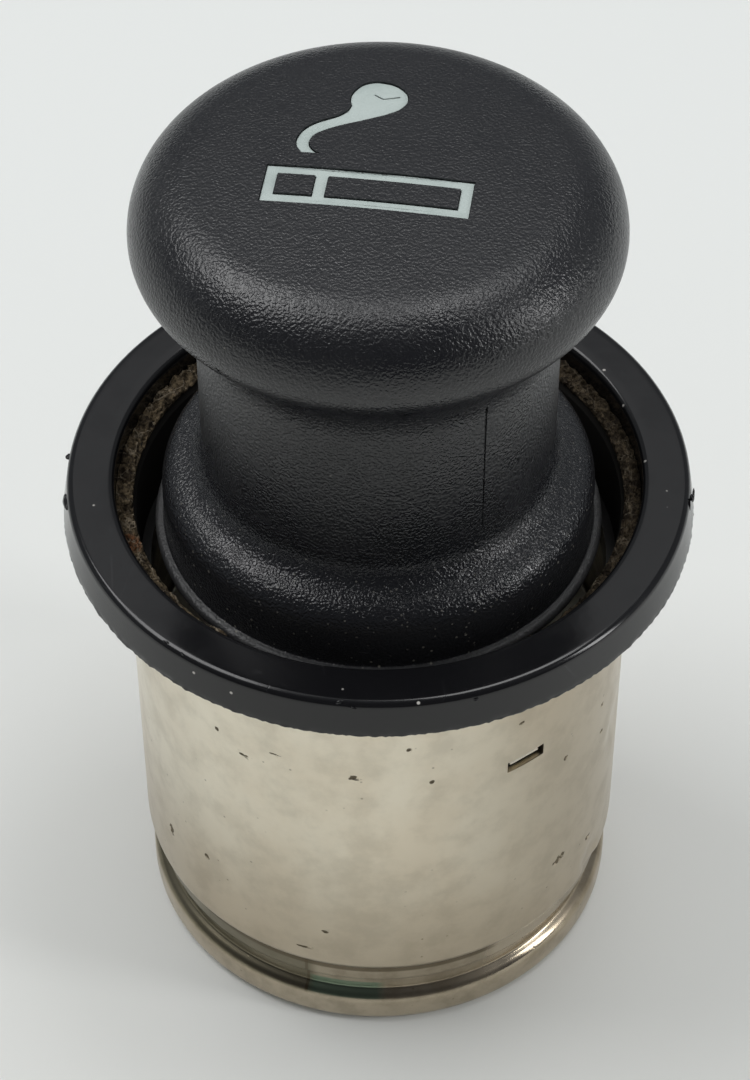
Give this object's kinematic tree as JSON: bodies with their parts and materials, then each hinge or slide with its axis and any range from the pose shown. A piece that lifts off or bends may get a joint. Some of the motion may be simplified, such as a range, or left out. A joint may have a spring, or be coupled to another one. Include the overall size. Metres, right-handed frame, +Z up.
{
  "type": "car cigarette lighter plug",
  "caption": "Pop-out car cigarette lighter plug: plated sleeve with a black trim ring and a sprung black knob carrying the heating coil.",
  "frame": {"origin": "middle of the sleeve's open rim, which the plug stands on", "axes": "+Z up along the plug's axis towards the knob; the picture's camera stands on the -Y side"},
  "size_m": [0.0256, 0.0256, 0.0398],
  "materials": {
    "plated_sleeve": "worn nickel plate, fine scratches and pits",
    "ring_plastic": "semi-gloss moulded black, scuffed edge",
    "shell_steel": "drawn zinc-plated sheet",
    "knob_plastic": "fine grained moulded black",
    "insert_brass": "turned brass",
    "stud_steel": "turned steel",
    "white_ceramic": "unglazed ceramic",
    "heater_steel": "heat-tinted steel",
    "mica": "pressed mica",
    "coil_ribbon": "oxidised resistance ribbon",
    "spring_wire": "drawn spring wire",
    "sign_paint": "pale paint of the sign on the knob's head"
  },
  "bodies": {
    "sleeve_body": {"sleeve": "plated_sleeve", "trim_ring": "ring_plastic", "heat_shield": "shell_steel", "spring_cup": "shell_steel", "return_spring": "spring_wire"},
    "spring_seat": {"spring_washer": "stud_steel"},
    "plunger": {"knob": "knob_plastic", "knob_insert": "insert_brass", "stud": "stud_steel", "stop_washer": "stud_steel", "insulator": "white_ceramic", "heater_cup": "heater_steel", "mica_disc": "mica", "ceramic_bush": "white_ceramic", "contact_rivet": "stud_steel", "heating_coil": "coil_ribbon"}
  },
  "joints": [
    {"name": "knob_press", "type": "slide", "parent": "sleeve_body", "child": "spring_seat", "axis": [0, 0, -1], "range_m": [0, 0.007], "stiffness_N_per_m": 450, "springref_m": -0.01, "deforming": ["return_spring"]},
    {"name": "knob_turn", "type": "hinge", "parent": "spring_seat", "child": "plunger", "pos_m": [0, 0, 0.03638], "axis": [0, 0, 1], "continuous": true}
  ]
}
